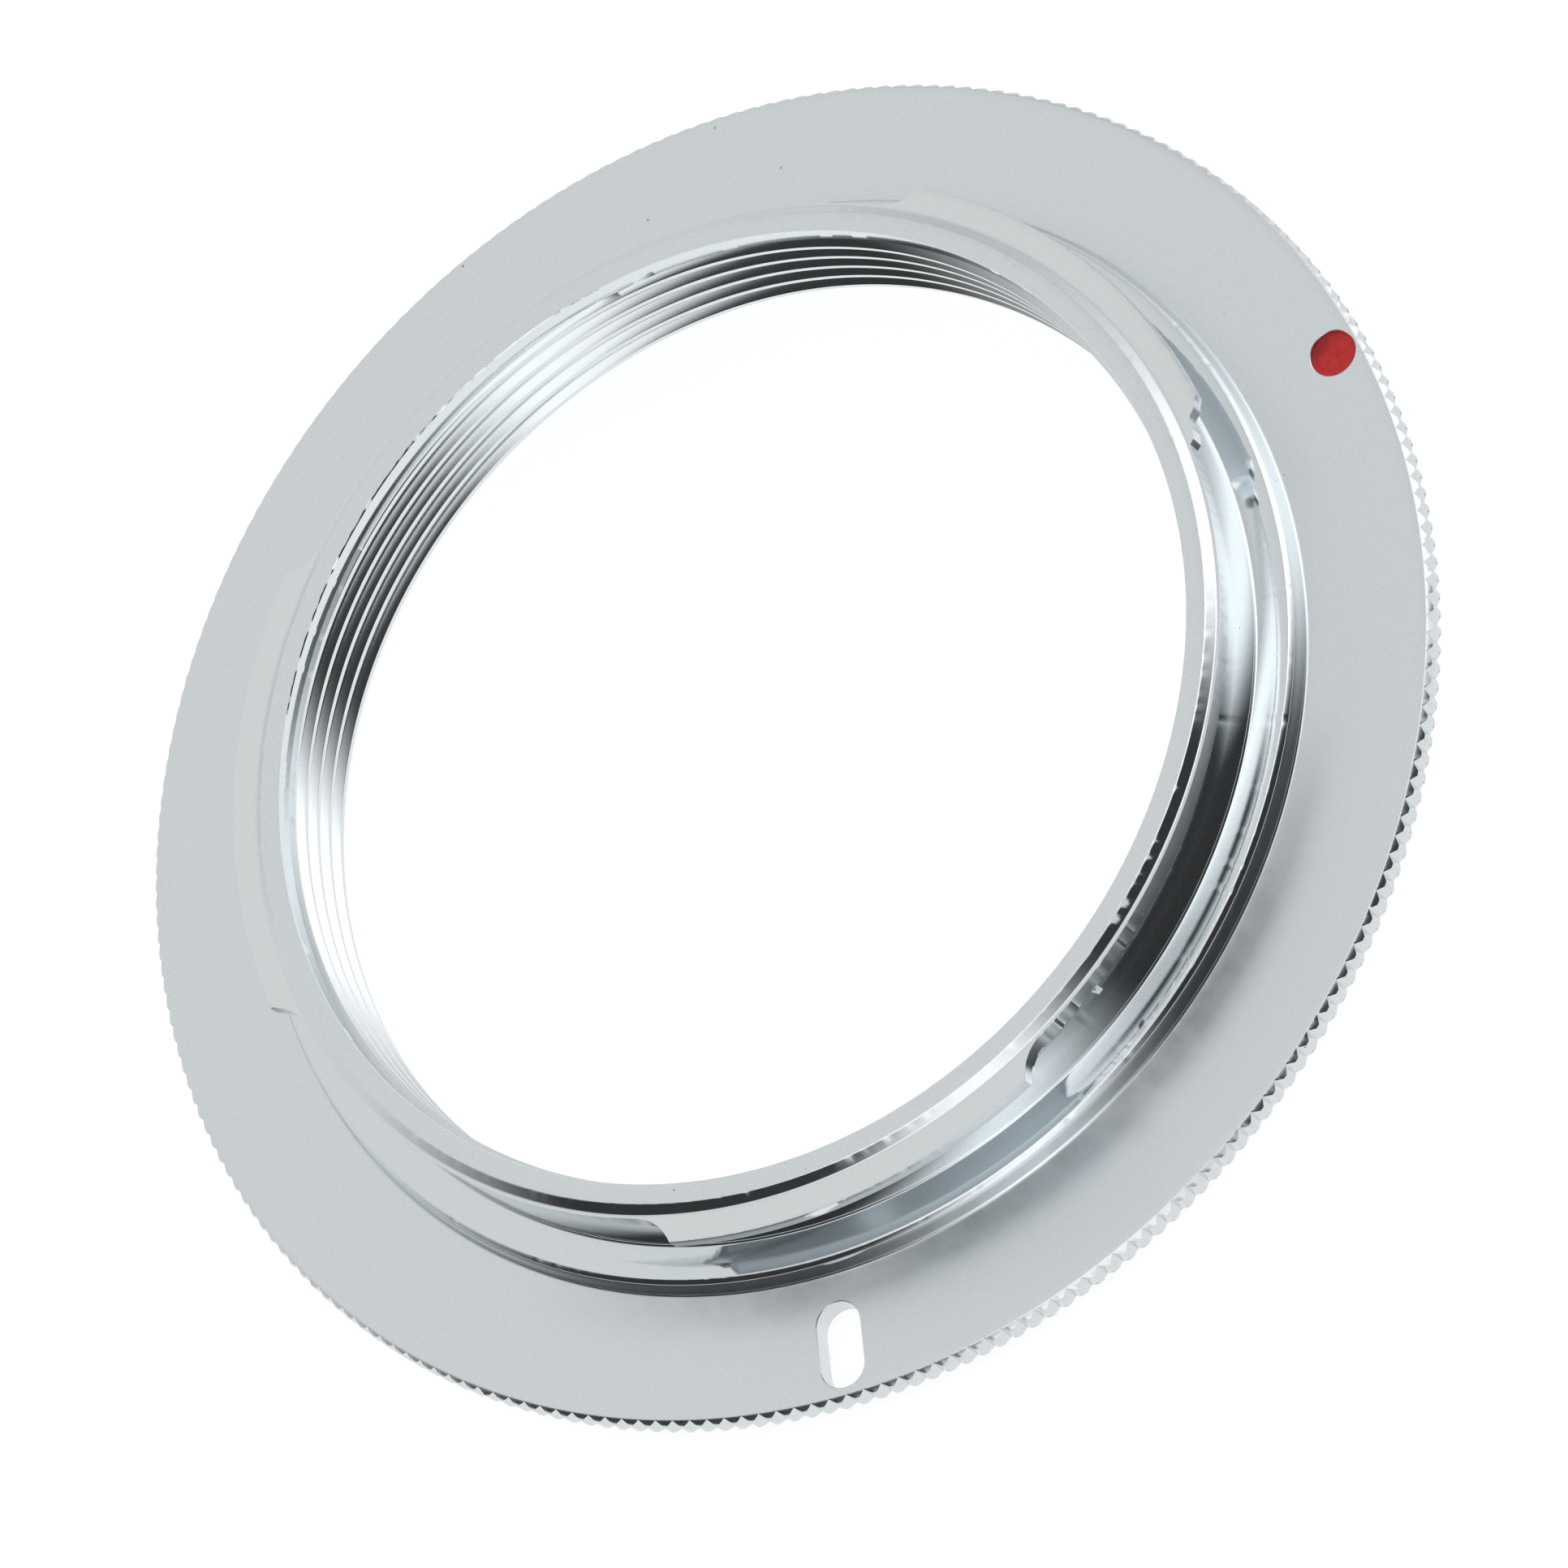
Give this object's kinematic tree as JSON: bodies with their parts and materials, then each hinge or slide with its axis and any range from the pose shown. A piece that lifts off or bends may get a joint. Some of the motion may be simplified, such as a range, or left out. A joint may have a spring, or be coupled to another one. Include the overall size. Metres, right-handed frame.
{
  "type": "lens mount adapter",
  "caption": "Thin plated ring that lets a screw thread lens fit a bayonet camera, with a knurled grip flange, locating shoulder, milled bayonet lugs, lock pin slot and red index dot.",
  "frame": {"origin": "middle of the flat rear face, the face that the lens seats on", "axes": "+Z along the bore axis towards the bayonet, +Y towards the red index dot, +X by the right-hand rule"},
  "size_m": [0.0588, 0.0588, 0.0056],
  "materials": {
    "plating": "satin pearl chrome plate on brass",
    "enamel": "glossy red enamel fill"
  },
  "bodies": {
    "root": {"adapter_ring": "plating", "index_dot": "enamel"}
  },
  "joints": []
}
